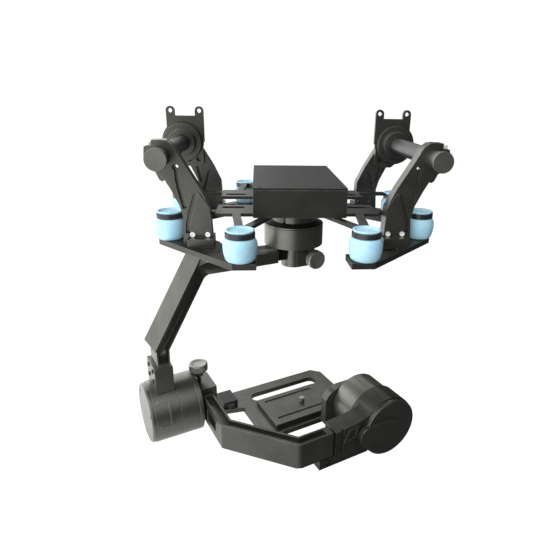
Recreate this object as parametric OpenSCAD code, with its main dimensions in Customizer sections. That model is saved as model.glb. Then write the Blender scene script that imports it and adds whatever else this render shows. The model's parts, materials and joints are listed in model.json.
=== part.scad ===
// Three-axis camera gimbal that hangs from two rails under a carrier.
// Frame: the pan axis meets the top face of the control box lid at the origin,
// X to the right of the carrier, Y away from its front, Z up. Millimetres.
// Everything below the pan motor is drawn in the camera's own frame, with X along the
// tilt axis and Y along the roll axis, and is turned about Z by the pan angle at rest.

/* [Rails and hangers] */
// Distance from the centre plane to each rail
rail_x = 116; // [114:1:118]
// Height of the rails above the lid
rail_z = 24; // [22:1:28]
// Outside diameter of a rail tube
rail_d = 16; // [14:1:17]
// Length of a rail tube between its end caps
rail_len = 168; // [164:2:180]
// Distance from the pan axis to the front face of a hanger plate
hanger_y = 64; // [62:1:66]
// Thickness of a hanger plate
hanger_t = 4; // [3:0.5:5]
// Height of the carrier bolt holes above the rail
hanger_hole_z = 32; // [30:1:36]
// Distance between the two prongs' bolt holes
hanger_hole_gap = 30; // [28:1:32]

/* [Legs and isolator plates] */
// Distance from the pan axis to the outer face of a front leg
leg_y = 66; // [65:1:66]
// Distance that the rear legs stand further from the pan axis than the front legs
rear_shift = 16; // [16:1:17]
// Thickness of a leg along the rail
leg_t = 13; // [11:1:14]
// Height of the isolator plates' top face, below the lid
plate_z = -51.3; // [-53:0.1:-50]
// Thickness of an isolator plate
plate_t = 5; // [4:0.5:6]
// Place of the inner dampers beside the pan axis
inner_x = 50.5; // [49:0.5:52]
// Place of the inner dampers in front of and behind the pan axis
inner_y = 111; // [109:1:113]
// Place of the outer dampers beside the pan axis
outer_x = 115.5; // [114:0.5:117]
// Place of the outer dampers in front of and behind the pan axis
outer_y = 45; // [43:1:48]

/* [Control box] */
// Width of the control box
box_w = 81; // [78:1:84]
// Length of the control box
box_l = 138; // [132:1:140]
// Height of the control box
box_h = 26; // [25:1:27]
// Offset of the box centre from the pan axis
box_y = -5; // [-8:1:0]

/* [Pan] */
// Pan angle at rest, clockwise from above
pan_rest = 65; // [0:1:90]
// Radius of the pan motor
pan_r = 30; // [29:0.5:31]
// Height of the seam between the pan motor's halves
pan_split_z = -48.8; // [-50:0.1:-48]
// Width of the pan arm
arm_w = 26; // [24:1:26]
// Width of the pan arm's tongue in the hub clamp
arm_tongue_w = 14; // [12:1:15]
// Depth of the pan arm
arm_t = 12; // [11:0.5:12]
// Distance from the pan axis to the vertical end of the pan arm
arm_reach = 145; // [144:1:147]

/* [Roll and tilt] */
// Height of the roll and tilt axes
axis_z = -224; // [-226:1:-222]
// Radius of the roll motor
roll_r = 30; // [29:0.5:30]
// Distance from the pan axis to the seam between the roll motor's halves
roll_split = 136; // [135:1:137]
// Height of the roll arm
roll_arm_h = 26; // [24:1:26]
// Thickness of the roll arm
roll_arm_t = 11; // [10:0.5:11]
// Distance from the roll axis to the outer face of the roll arm
roll_arm_x = 127; // [126:1:128]
// Distance of the tilt axis in front of the pan axis
tilt_y = 35; // [34:1:36]
// Radius of the tilt motor's housing
tilt_r = 30; // [29:0.5:30]
// Radius of the tilt motor's rotor
tilt_rotor_r = 28; // [26:0.5:28]
// Distance from the roll axis to the seam between the tilt motor's halves
tilt_split = 105; // [104:1:106]

/* [Camera tray] */
// Height of the camera seat below the tilt axis
seat_drop = 46; // [44:1:50]
// Radius of the camera screw, 1/4 in. or 3/8 in. thread
camera_screw_r = 3.175; // [3.175, 4.7625]

/* [Hidden] */

$fn = 64;

// Cut faces run past the solid by this much
eps = 0.1;
// Gap between parts that slide or turn on each other
gap = 0.3;
// Radial gap in the bearings
run_gap = 0.05;
// Radial gap of parts pressed together
fit_gap = 0.02;
// Screw radii
m3_r = 1.5;
m3_head_r = 2.75;
m4_r = 2;
m4_head_r = 3.5;

// Motor parts shared by all three axes
shaft_r = 4;
bearing_r = 8;
bearing_w = 5;
tube_r = 10;
bell_wall = 2.4;
magnet_t = 2;
air_gap = 0.6;
magnet_count = 14;
tooth_count = 12;
floor_t = 4;

// Pan motor
pan_top_z = -29.1;
pan_neck_r = 22;
pan_rim_t = 1;
pan_shoulder_t = 4;
pan_rotor_h = 20.6;
pan_floor_z = pan_split_z - gap - pan_rotor_h;
hub_r = 12.5;
hub_top_t = 3;
arm_z = pan_floor_z - hub_top_t - gap - arm_t / 2;
hub_low_t = 8;
hub_h = hub_top_t + arm_t + 2 * gap + hub_low_t;
hub_front = 17;
knob_r = 9.5;
knob_t = 8;
pan_knob_x = 23;
pan_knob_y = 10.8;
pan_knob_z = arm_z - 3;

// Roll motor, cap at the back and rotor at the front
roll_case_l = 24;
roll_cap_t = 4;
roll_rotor_h = 22.2;
roll_front = roll_split - gap - roll_rotor_h;
bracket_side_t = 1.8;
bracket_back_t = 3.7;
bracket_front_t = 1.2;
bracket_top_z = -170.5;
arm_end_z = -189;
clamp_back_t = 2;
clamp_x = 15;
clamp_wall = 5;
clamp_l = clamp_back_t + roll_arm_t + 2 * gap + clamp_wall;
arm_back_y = -(roll_front - clamp_back_t - gap);
roll_knob_x = -4;
roll_knob_y = arm_back_y + 4;
roll_knob_z = axis_z + 34.2;

// Tilt motor, cap outside and rotor beside the camera
tilt_case_l = 23;
tilt_cap_t = 5;
tilt_rotor_h = 28;
tongue_t = 7;
tongue_h = 18;
tongue_start = -26;
tongue_end = 0;
bracket_back = -24.4;

// Tray
upright_x = tilt_split - gap - tilt_rotor_h - 0.7;
upright_t = 8;
tray_screw_y = [20, 58];
seat_z = axis_z - seat_drop;
plate_h = 5;
tray_t = 6;
tray_top = seat_z - plate_h - gap;

// ---------- helpers ----------

module pan_frame() {
    rotate([0, 0, -pan_rest]) children();
}

// Motor axis to roll axis: local Z points backwards
module roll_motor_frame() {
    pan_frame() translate([0, -roll_split, axis_z]) rotate([90, 0, 0]) children();
}

// Motor axis to tilt axis: local Z points outwards
module tilt_motor_frame() {
    pan_frame() translate([tilt_split, tilt_y, axis_z]) rotate([0, 90, 0]) children();
}

module pan_motor_frame() {
    translate([0, 0, pan_split_z]) rotate([0, 0, -pan_rest]) children();
}

module both_sides() {
    for (side = [0, 1]) mirror([side, 0, 0]) children();
}

module tube(h, outer, inner) {
    difference() {
        cylinder(h = h, r = outer);
        translate([0, 0, -eps]) cylinder(h = h + 2 * eps, r = inner);
    }
}

// Point where two offset lines of a bar's outline meet
function unit(v) = v / norm(v);
function left_of(v) = [-v[1], v[0]];
function corner_normal(a, b) = let (m = a + b) m * 2 / (m * m);
function joint_normal(pts, i) =
    i == 0 ? left_of(unit(pts[1] - pts[0]))
    : i == len(pts) - 1 ? left_of(unit(pts[i] - pts[i - 1]))
    : corner_normal(left_of(unit(pts[i] - pts[i - 1])), left_of(unit(pts[i + 1] - pts[i])));
function bar_side(pts, offset_by) =
    [for (i = [0 : len(pts) - 1]) pts[i] + offset_by * joint_normal(pts, i)];
function reversed(pts) = [for (i = [len(pts) - 1 : -1 : 0]) pts[i]];

// Flat bar of one width along a bent centre line
module bar(pts, width) {
    polygon(concat(bar_side(pts, width / 2), reversed(bar_side(pts, -width / 2))));
}

// Screw with its head at the origin and its shank along -Z
module screw(r, head_r, head_h, length) {
    difference() {
        union() {
            cylinder(h = head_h, r = head_r);
            translate([0, 0, -length]) cylinder(h = length + eps, r = r);
        }
        translate([0, 0, head_h - 1.2]) cylinder(h = 2, r = r * 0.8, $fn = 6);
    }
}

// Thumbscrew with its knob above the origin and its stem along -Z
module thumbscrew(stem) {
    union() {
        difference() {
            cylinder(h = knob_t, r = knob_r);
            for (a = [0 : 15 : 345])
                rotate([0, 0, a])
                    translate([knob_r + 0.4, 0, 1])
                        cylinder(h = knob_t - 2, r = 0.9, $fn = 16);
        }
        translate([0, 0, -3]) cylinder(h = 3 + eps, r = 4.5);
        translate([0, 0, -stem]) cylinder(h = stem, r = m4_r);
    }
}

// Row of coils on a laminated ring, between z0 and z1
module stator(outer, z0, z1) {
    core_r = tube_r + 3;
    difference() {
        union() {
            translate([0, 0, z0]) cylinder(h = z1 - z0, r = core_r);
            for (i = [0 : tooth_count - 1])
                rotate([0, 0, i * 360 / tooth_count]) {
                    translate([core_r - 1, -1.3, z0 + 1])
                        cube([outer - core_r, 2.6, z1 - z0 - 2]);
                    translate([core_r + 0.8, -2.2, z0 + 0.6])
                        cube([outer - core_r - 3, 4.4, z1 - z0 - 1.2]);
                }
        }
        translate([0, 0, z0 - eps]) cylinder(h = z1 - z0 + 2 * eps, r = tube_r + fit_gap);
    }
}

module magnets(bell_r, z0, z1) {
    inner = bell_r - magnet_t;
    for (i = [0 : magnet_count - 1])
        rotate([0, 0, i * 360 / magnet_count])
            intersection() {
                translate([0, 0, z0]) tube(z1 - z0, bell_r - fit_gap, inner);
                translate([0, -inner * 0.19, z0]) cube([bell_r, inner * 0.38, z1 - z0]);
            }
}

module bearing_pair(z_low, z_high) {
    for (z = [z_low, z_high])
        translate([0, 0, z]) tube(bearing_w, bearing_r - fit_gap, shaft_r + run_gap);
}

// Rotor bell: open towards +Z, closed by a floor at its low end
module bell(outer, height) {
    difference() {
        translate([0, 0, -gap - height]) cylinder(h = height, r = outer);
        translate([0, 0, -gap - height + floor_t]) cylinder(h = height, r = outer - bell_wall);
        translate([0, 0, -gap - height - eps]) cylinder(h = height, r = shaft_r + fit_gap);
    }
}

// ---------- hanging frame ----------

module rail_tubes() {
    color("#2b2b2b")
        both_sides()
            translate([rail_x, rail_len / 2, rail_z])
                rotate([90, 0, 0]) tube(rail_len, rail_d / 2, rail_d / 2 - 1.5);
}

module rail_end_caps() {
    cap_t = 4;
    color("#3a3a3a")
        both_sides()
            for (end = [-1, 1])
                translate([rail_x, end * rail_len / 2, rail_z])
                    rotate([-90 * end, 0, 0]) {
                        cylinder(h = cap_t, r = rail_d / 2 + 1);
                        translate([0, 0, -8]) cylinder(h = 8 + eps, r = rail_d / 2 - 1.5 - fit_gap);
                    }
}

// The prongs stand off centre, towards the inner side
prong_x = -3.5;
module hanger_outline() {
    cup_r = 22;
    prong_w = 9;
    web_h = 27;
    union() {
        circle(r = cup_r);
        // web between the prongs
        translate([prong_x - hanger_hole_gap / 2, 0]) square([hanger_hole_gap, web_h]);
        // tab on the inner side, below the rail
        polygon([[-21, -6], [-21, -23], [-18, -25.5], [-2, -25.5], [2, -22], [4, 0]]);
        for (side = [-1, 1]) {
            translate([prong_x + side * hanger_hole_gap / 2 - prong_w / 2, 0])
                square([prong_w, hanger_hole_z]);
            translate([prong_x + side * hanger_hole_gap / 2, hanger_hole_z]) circle(r = prong_w / 2);
        }
    }
}

module hanger_plates() {
    color("#2e2f2e")
        both_sides()
            translate([rail_x, hanger_y + hanger_t, rail_z])
                rotate([90, 0, 0])
                    difference() {
                        linear_extrude(hanger_t) hanger_outline();
                        translate([0, 0, -eps]) cylinder(h = hanger_t + 2 * eps, r = rail_d / 2 + gap);
                        for (side = [-1, 1])
                            translate([prong_x + side * hanger_hole_gap / 2, hanger_hole_z, -eps])
                                cylinder(h = hanger_t + 2 * eps, r = m4_r + 0.15);
                        for (x = [-16, -6])
                            translate([x, -18, -eps]) cylinder(h = hanger_t + 2 * eps, r = 2.8);
                    }
}

module rail_flanges() {
    disc_t = 6;
    step_t = 6;
    color("#333433")
        both_sides()
            translate([rail_x, hanger_y - gap / 3, rail_z])
                rotate([90, 0, 0])
                    difference() {
                        union() {
                            cylinder(h = disc_t, r = 20);
                            translate([0, 0, disc_t - eps]) cylinder(h = step_t, r = 14);
                        }
                        translate([0, 0, -eps])
                            cylinder(h = disc_t + step_t + 1, r = rail_d / 2 + run_gap);
                    }
}

// One leg seen along the rail, with the rail at [rail_x, rail_z]
leg_hole_x = [80, 93];
leg_panel_t = 1.6;
leg_panel_hole_z = plate_z + 9.3;
clamp_screw_x = rail_x + 9.9;
clamp_seat_z = rail_z + 8.6;
module leg_outline() {
    polygon([
        [76.2, plate_z], [101.3, plate_z], [101.3, -47], [100.2, -27.5], [103, -17],
        [109.5, -3.3], [115, 6.5],
        [rail_x + 11, rail_z - 7], [rail_x + 13.5, rail_z + 2], [rail_x + 12.9, rail_z + 7.5],
        [rail_x + 11.6, rail_z + 10.3], [rail_x + 9.4, rail_z + 12.3], [rail_x + 6.4, rail_z + 13.4],
        [rail_x - 5, rail_z + 13.2], [rail_x - 9.8, rail_z + 9.4], [rail_x - 13, rail_z + 4],
        [98.1, 19.3], [85.3, -2.3], [77.6, -18.7], [76.2, -45]
    ]);
}

// Lug that hangs from the outer side of the clamp ring
module leg_lug_outline() {
    polygon([
        [rail_x - 4, 13], [rail_x - 3, 6], [rail_x, 3], [rail_x + 2.6, 4.6], [rail_x + 6, 12]
    ]);
}

// Grooves beside the outer strip and beside the lower panel
module leg_grooves() {
    bar([[104, 16], [103.6, 5], [102.2, -3.3], [98.6, -19.5]], 4);
    translate([104, 15.5]) circle(r = 3.2);
    bar([[89.6, -8], [94.2, -22], [97, -34], [97.3, -41.5]], 4);
    translate([89.6, -8]) circle(r = 2);
}

// Raised panel above the foot
module leg_panel_outline() {
    polygon([
        [86, -6.5], [88.2, -6.5], [94, -22.5], [96.8, -34], [97, plate_z], [76.2, plate_z],
        [76.2, -45], [77.6, -18.7]
    ]);
}

module leg() {
    ring_r = 13.6;
    pocket_t = 4;
    foot_reach = 10;
    foot_h = 6.9;
    slit_h = 0.8;
    slit_turn = 35;
    color("#2c2d2b")
        difference() {
            union() {
                translate([0, leg_t, 0]) rotate([90, 0, 0]) linear_extrude(leg_t) leg_outline();
                translate([rail_x, leg_t, rail_z]) rotate([90, 0, 0]) cylinder(h = leg_t, r = ring_r);
                rotate([90, 0, 0]) linear_extrude(leg_panel_t) leg_panel_outline();
                translate([0, leg_t - 2, 0]) rotate([90, 0, 0]) linear_extrude(leg_t - 4) leg_lug_outline();
                translate([74.6, -foot_reach, plate_z]) cube([22.4, foot_reach + leg_t, foot_h]);
            }
            translate([rail_x, leg_t + 1, rail_z])
                rotate([90, 0, 0]) cylinder(h = leg_t + 2, r = rail_d / 2 + run_gap);
            // clamp slit, cut from the ring's upper outer side
            translate([rail_x, -1, rail_z])
                rotate([0, -slit_turn, 0]) translate([5, 0, -slit_h / 2]) cube([ring_r, leg_t + 2, slit_h]);
            for (face = [0, leg_t])
                translate([0, face + pocket_t, 0])
                    rotate([90, 0, 0]) linear_extrude(2 * pocket_t) leg_grooves();
            for (x = leg_hole_x)
                translate([x, leg_t + 1, leg_panel_hole_z])
                    rotate([90, 0, 0]) cylinder(h = leg_t + 4, r = m3_r);
            translate([104, leg_t + 1, 15.5]) rotate([90, 0, 0]) cylinder(h = leg_t + 2, r = m3_r);
            // clamp screw hole from the top, through the slit
            translate([clamp_screw_x, leg_t / 2, rail_z - 1]) cylinder(h = 20, r = m3_r + 0.1);
            // flat seat for its head
            translate([clamp_screw_x - m3_head_r - 0.4, -1, clamp_seat_z]) cube([12, leg_t + 2, 12]);
            // foot screw holes from below
            for (x = leg_hole_x)
                translate([x, leg_t / 2, plate_z - eps]) cylinder(h = 7, r = m3_r);
        }
}

function leg_shift(end) = end > 0 ? rear_shift : 0;
module leg_at(side, end) {
    mirror([side < 0 ? 1 : 0, 0, 0])
        translate([0, leg_shift(end), 0])
            mirror([0, end > 0 ? 1 : 0, 0])
                translate([0, -leg_y, 0]) leg();
}

module leg_front_left() { leg_at(-1, -1); }
module leg_front_right() { leg_at(1, -1); }
module leg_rear_left() { leg_at(-1, 1); }
module leg_rear_right() { leg_at(1, 1); }

function leg_centre(end) = leg_shift(end) + end * (leg_y - leg_t / 2);

module leg_clamp_screws() {
    color("silver")
        both_sides()
            for (end = [-1, 1])
                translate([clamp_screw_x, leg_centre(end), clamp_seat_z + run_gap])
                    screw(m3_r, m3_head_r, 2.8, 8);
}

module leg_panel_screws() {
    color("silver")
        both_sides()
            for (end = [-1, 1], x = leg_hole_x)
                translate([0, leg_shift(end), 0])
                    mirror([0, end > 0 ? 1 : 0, 0])
                        translate([x, -leg_y - leg_panel_t - run_gap, leg_panel_hole_z])
                            rotate([90, 0, 0]) screw(m3_r - run_gap, m3_head_r - 0.55, 1.4, 9);
}

module leg_foot_screws() {
    color("dimgray")
        both_sides()
            for (end = [-1, 1], x = leg_hole_x)
                translate([x, leg_centre(end), plate_z - plate_t - run_gap])
                    rotate([180, 0, 0]) screw(m3_r - run_gap, m3_head_r, 2, 10);
}

module isolator_outline() {
    polygon([
        [38, -121.5], [57, -121.5], [126, -49], [127, -44], [127, 56], [125, 63],
        [57, 121.5], [38, 121.5],
        [37, 97], [58, 91], [71, 58], [100, 30], [100, -30], [71, -58], [58, -91], [37, -97]
    ]);
}

module slot_hole(a, b, r, h) {
    length = norm(b - a);
    angle = atan2(b[1] - a[1], b[0] - a[0]);
    translate([a[0], a[1], 0]) rotate([0, 0, angle]) {
        cylinder(h = h, r = r);
        translate([length, 0, 0]) cylinder(h = h, r = r);
        translate([0, -r, 0]) cube([length, 2 * r, h]);
    }
}

neck_r = 5;
// Pocket under the plate that takes the lip of a damper
lip_pocket_r = 7;
lip_pocket_h = 2.8;
// The rear slots keep clear of the legs' feet
function slot_in(end) = end > 0 ? 6 : 0;
function slot_back(end) = end > 0 ? 10.5 : 0;
module isolator_plate() {
    hole_h = plate_t + 2 * eps;
    color("#292a2a")
        difference() {
            translate([0, 0, plate_z - plate_t]) linear_extrude(plate_t) isolator_outline();
            for (end = [-1, 1])
                translate([0, 0, plate_z - plate_t - eps]) {
                    for (p = [[inner_x, inner_y], [outer_x, outer_y]])
                        translate([p[0], end * p[1], 0]) {
                            cylinder(h = hole_h, r = neck_r + gap);
                            cylinder(h = lip_pocket_h + eps, r = lip_pocket_r);
                        }
                    for (x = leg_hole_x)
                        translate([x, leg_centre(end), 0]) cylinder(h = hole_h, r = m3_r + 0.1);
                    slot_hole([70 - slot_in(end), end * 88 + slot_back(end)],
                              [84 - slot_in(end), end * 83 + slot_back(end)], 2.6, hole_h);
                }
            translate([0, 0, plate_z - plate_t - eps])
                slot_hole([116, -22], [116, 22], 6, hole_h);
        }
}

module isolator_plate_left() { mirror([1, 0, 0]) isolator_plate(); }
module isolator_plate_right() { isolator_plate(); }

function damper_places() = [
    for (side = [-1, 1], end = [-1, 1], p = [[inner_x, inner_y], [outer_x, outer_y]])
        [side * p[0], end * p[1]]
];

damper_h = 25.6;
ring_z = plate_z + 19.4;
ring_h = 4.4;
ring_in = 10.7;
ring_out = 12;

// Rubber ball, in one piece with the neck and lip that hold it in the plate
module damper() {
    waist_r = 10.3;
    lip_r = 11.3;
    lip_top = lip_pocket_h - plate_t - 0.1;
    rotate_extrude()
        polygon([
            [0, 0.2 - plate_t], [neck_r + 0.6, 0.2 - plate_t], [neck_r + 1.6, lip_top - 0.6],
            [neck_r + 1.4, lip_top], [neck_r, lip_top], [neck_r, 0.1], [11.3, 0.1],
            [12.8, 3.4], [13.6, 7.4], [13.9, 11], [13.7, 14], [12.9, 17], [11.8, 19],
            [waist_r, 19.2], [waist_r, 24],
            [lip_r, 24.2], [lip_r, damper_h - 0.6], [lip_r - 0.7, damper_h],
            [lip_r - 2.4, damper_h], [lip_r - 3.4, damper_h - 1.2], [0, damper_h - 1.2]
        ]);
}

module dampers() {
    color("#9fd3f2")
        for (p = damper_places()) translate([p[0], p[1], plate_z]) damper();
}

// ---------- suspended stage ----------

module damper_rings() {
    color("#1d1f20")
        for (p = damper_places())
            translate([p[0], p[1], ring_z]) tube(ring_h, ring_out, ring_in);
}

// Arm of the plate from one point to another, stopping short of a ring
module plate_arm(a, b, width) {
    length = norm(b - a);
    angle = atan2(b[1] - a[1], b[0] - a[0]);
    translate(a) rotate(angle) translate([0, -width / 2]) square([length - ring_out, width]);
}

module suspension_outline() {
    both_sides()
        for (end = [0, 1]) mirror([0, end]) {
            plate_arm([18, 44], [inner_x, inner_y], 7);
            plate_arm([56, 50], [inner_x, inner_y], 7);
            plate_arm([60, outer_y], [outer_x, outer_y], 8);
            translate([-1, 20]) square([75, 36]);
        }
    translate([-36, -60]) square([72, 120]);
}

module suspension_plate() {
    plate = 3;
    suspension_z = -box_h - run_gap - plate;
    color("#262727")
        difference() {
            translate([0, 0, suspension_z]) linear_extrude(plate) suspension_outline();
            translate([0, 0, suspension_z - eps]) {
                cylinder(h = plate + 2 * eps, r = 10);
                for (side = [-1, 1], end = [-1, 1]) {
                    slot_hole([side * 52, end * 31], [side * 66, end * 31], 4, plate + 2 * eps);
                    translate([side * 30, end * 54, 0]) cylinder(h = plate + 2 * eps, r = m3_r);
                    rotate([0, 0, 45 * side]) translate([0, end * 15, 0])
                        cylinder(h = plate + 2 * eps, r = m3_r);
                }
            }
        }
}

box_wall = 2;
board_z = -20;
lid_t = 2;
lid_screw_x = box_w / 2 - 5;
lid_screw_y = box_l / 2 - 6;

module box_posts(h, r) {
    for (side = [-1, 1], end = [-1, 1])
        translate([side * lid_screw_x, box_y + end * lid_screw_y, 0]) cylinder(h = h, r = r);
}

module control_box() {
    inner_h = box_h - box_wall;
    color("#242524")
        difference() {
            union() {
                difference() {
                    translate([-box_w / 2, box_y - box_l / 2, -box_h])
                        cube([box_w, box_l, box_h - lid_t]);
                    translate([-box_w / 2 + box_wall, box_y - box_l / 2 + box_wall, -inner_h])
                        cube([box_w - 2 * box_wall, box_l - 2 * box_wall, box_h]);
                }
                translate([0, 0, -box_h]) box_posts(box_h - lid_t, 3.6);
                // pads under the control board
                for (x = [-26, 26], y = [-46, 46])
                    translate([x, box_y + y, -box_h]) cylinder(h = board_z + box_h - run_gap, r = 2.5);
            }
            translate([0, 0, -14]) box_posts(20, m3_r);
            // cable opening over the pan axis
            translate([0, 0, -box_h - eps]) cylinder(h = 5, r = 9);
            // sockets in the rear wall
            for (x = [-24, -6, 12])
                translate([x, box_y + box_l / 2 - 5, -19]) cube([12, 10, 6]);
        }
}

module control_box_lid() {
    color("#2a2b2a")
        difference() {
            translate([-box_w / 2, box_y - box_l / 2, -lid_t])
                cube([box_w, box_l, lid_t]);
            translate([0, 0, -lid_t - eps]) box_posts(lid_t + 1, m3_r + 0.1);
            translate([0, 0, -1.1]) box_posts(2, m3_head_r + 0.2);
        }
}

module lid_screws() {
    color("#151515")
        for (side = [-1, 1], end = [-1, 1])
            translate([side * lid_screw_x, box_y + end * lid_screw_y, -1.05])
                screw(m3_r - run_gap, m3_head_r, 1.3, 8);
}

module control_board() {
    board_t = 1.6;
    color("darkgreen")
        translate([-30, box_y - 50, board_z]) {
            cube([60, 100, board_t]);
            translate([12, 20, board_t - eps]) cube([14, 14, 2]);
            translate([34, 48, board_t - eps]) cube([10, 10, 2]);
            translate([8, 70, board_t - eps]) cube([24, 6, 5]);
            for (x = [14, 30, 46]) translate([x - 8, 90, board_t - eps]) cube([10, 8, 5]);
        }
}

pan_tube_low = -pan_rotor_h + floor_t + 0.6;
pan_bearing_high = 10;
module pan_motor_base() {
    neck_h = pan_top_z - pan_split_z;
    notch_w = 3;
    notch_x = -10.5;
    color("#343532")
        pan_motor_frame()
            difference() {
                union() {
                    cylinder(h = pan_rim_t, r = pan_r);
                    translate([0, 0, pan_rim_t - 0.01])
                        cylinder(h = pan_shoulder_t - pan_rim_t, r1 = pan_r, r2 = pan_neck_r);
                    cylinder(h = neck_h, r = pan_neck_r);
                    translate([0, 0, pan_tube_low]) cylinder(h = 2 - pan_tube_low, r = tube_r);
                }
                translate([0, 0, pan_tube_low - eps]) cylinder(h = 60, r = bearing_r);
                // narrow cable notch in the neck, on the side that faces the front
                rotate([0, 0, pan_rest - 90])
                    translate([pan_neck_r - 5, notch_x - notch_w / 2, pan_shoulder_t])
                        cube([10, notch_w, neck_h]);
                for (a = [45 : 90 : 315])
                    rotate([0, 0, a + pan_rest]) translate([15, 0, neck_h - 8]) cylinder(h = 10, r = m3_r);
            }
}

module pan_stator() {
    color("#b87333")
        pan_motor_frame() stator(pan_r - bell_wall - magnet_t - air_gap, -pan_rotor_h + floor_t + 0.4, -0.9);
}

module pan_bearings() {
    color("silver") pan_motor_frame() bearing_pair(pan_tube_low, pan_bearing_high);
}

// ---------- pan arm ----------

module pan_rotor() {
    color("#3a3b38") pan_motor_frame() bell(pan_r, pan_rotor_h);
}

module pan_magnets() {
    color("lightgray") pan_motor_frame() magnets(pan_r - bell_wall, -pan_rotor_h + floor_t + 0.5, -0.8);
}

module pan_shaft() {
    color("gainsboro")
        pan_motor_frame()
            translate([0, 0, -gap - pan_rotor_h])
                cylinder(h = pan_rotor_h + pan_bearing_high + 6, r = shaft_r);
}

module pan_hub_clamp() {
    slot_w = arm_tongue_w + 2 * gap;
    slot_h = arm_t + 2 * gap;
    color("#343532")
        pan_frame()
            translate([0, 0, pan_floor_z - hub_h])
                difference() {
                    union() {
                        cylinder(h = hub_h, r = hub_r);
                        translate([-hub_r, -2, 0]) cube([2 * hub_r, hub_front + 2, hub_h]);
                    }
                    translate([-slot_w / 2, -hub_r - 1, hub_h - hub_top_t - slot_h])
                        cube([slot_w, hub_r + hub_front + 2, slot_h]);
                    translate([0, pan_knob_y, pan_knob_z - pan_floor_z + hub_h])
                        rotate([0, 90, 0]) cylinder(h = 20, r = m4_r + gap);
                }
}

module pan_thumbscrew() {
    color("#8c8c88")
        pan_frame()
            translate([pan_knob_x, pan_knob_y, pan_knob_z])
                rotate([0, 90, 0]) thumbscrew(pan_knob_x - arm_tongue_w / 2 - gap);
}

// Centre line of the pan arm in the camera's upright plane
arm_tip = 22;
arm_step = -24;
elbow_z = -152.5;
function pan_arm_line() = [
    [arm_step, arm_z], [-98, arm_z], [-103, arm_z - 1.8], [-106.7, arm_z - 5.5],
    [-arm_reach, elbow_z], [-arm_reach, arm_end_z]
];
// Its diagonal part
function pan_arm_slope(from, to) =
    [for (part = [from, to]) pan_arm_line()[3] + part * (pan_arm_line()[4] - pan_arm_line()[3])];

module pan_arm() {
    pocket_d = 8;
    rim = 1.5;
    cover_t = 4.5;
    line = pan_arm_line();
    cover = pan_arm_slope(-0.19, 1.05);
    run = cover[1] - cover[0];
    color("#2f302d")
        pan_frame()
            difference() {
                union() {
                    rotate([90, 0, 90])
                        translate([0, 0, -arm_w / 2]) linear_extrude(arm_w) bar(line, arm_t);
                    translate([-arm_tongue_w / 2, arm_step - 1, arm_z - arm_t / 2])
                        cube([arm_tongue_w, arm_tip - arm_step + 1, arm_t]);
                    // wedge-shaped cable cover on the slope's outer face, with a lip at the elbow
                    translate([0, cover[0][0], cover[0][1]])
                        rotate([atan2(-run[0], run[1]), 0, 0])
                            linear_extrude(norm(run))
                                polygon([
                                    [-arm_w / 2, 5], [arm_w / 2, 5], [arm_w / 2, arm_t / 2 + 0.3],
                                    [-arm_w / 2, arm_t / 2 + cover_t]
                                ]);
                }
                // channel along each flat side of the slope and the lower end
                for (side = [-1, 1])
                    translate([side * (arm_w / 2 - pocket_d / 2 + eps), 0, 0])
                        rotate([90, 0, 90])
                            translate([0, 0, -pocket_d / 2 - eps])
                                linear_extrude(pocket_d + eps)
                                    bar(concat(pan_arm_slope(0.1, 1), [[-arm_reach, -166.5]]),
                                        arm_t - 2 * rim);
            }
}

// ---------- roll motor, held by the lower end of the pan arm ----------

bracket_screw_x = [-8, 8];
bracket_screw_z = [-175.5, -186];
module roll_bracket() {
    width = arm_w + 2 * gap + 2 * bracket_side_t;
    low_z = axis_z + roll_r - 3;
    front = -arm_reach + arm_t / 2 + gap + bracket_front_t;
    back = -arm_reach - arm_t / 2 - gap - bracket_back_t;
    color("#30312e")
        pan_frame()
            difference() {
                union() {
                    translate([-width / 2, back, low_z]) cube([width, front - back, bracket_top_z - low_z]);
                    // saddle over the motor case
                    translate([-width / 2, back, axis_z + 20]) cube([width, front - back, 12]);
                }
                // socket for the arm
                translate([-arm_w / 2 - gap, -arm_reach - arm_t / 2 - gap, axis_z + roll_r + 2])
                    cube([arm_w + 2 * gap, arm_t + 2 * gap, 60]);
                // seat on the motor case
                translate([0, -roll_split + 5, axis_z])
                    rotate([90, 0, 0]) cylinder(h = 60, r = roll_r + run_gap);
                for (x = bracket_screw_x, z = bracket_screw_z)
                    translate([x, -arm_reach - arm_t / 2, z])
                        rotate([90, 0, 0]) cylinder(h = 10, r = m3_r + 0.1);
            }
}

module roll_bracket_screws() {
    color("#3a3b39")
        pan_frame()
            for (x = bracket_screw_x, z = bracket_screw_z)
                translate([x, -arm_reach - arm_t / 2 - gap - bracket_back_t - run_gap, z])
                    rotate([90, 0, 0]) screw(m3_r, m3_head_r - 0.6, 1, bracket_back_t - 0.1);
}

roll_tube_low = -roll_rotor_h + floor_t + 0.6;
// Sector of the motor's round band, between two angles and two depths
module band_sector(from, to, low, high, outer) {
    reach = 2 * outer;
    intersection() {
        translate([0, 0, low]) cylinder(h = high - low, r = outer);
        linear_extrude(high + 1)
            polygon([
                [0, 0], [reach * cos(from), reach * sin(from)], [reach * cos(to), reach * sin(to)]
            ]);
    }
}

module roll_motor_case() {
    frame_t = 0.9;
    color("#30312f")
        roll_motor_frame()
            difference() {
                union() {
                    cylinder(h = roll_case_l, r = roll_r);
                    translate([0, 0, roll_tube_low]) cylinder(h = 2 - roll_tube_low, r = tube_r);
                    // raised frame on each side of the band
                    for (side = [0, 1])
                        mirror([side, 0, 0])
                            difference() {
                                band_sector(-5, 49, 8, 20.5, roll_r + frame_t);
                                band_sector(1, 43, 10.5, 21, roll_r + frame_t + 1);
                            }
                }
                translate([0, 0, 16]) cylinder(h = roll_case_l, r = roll_r - 3);
                translate([0, 0, roll_tube_low - eps]) cylinder(h = 40, r = bearing_r);
            }
}

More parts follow.
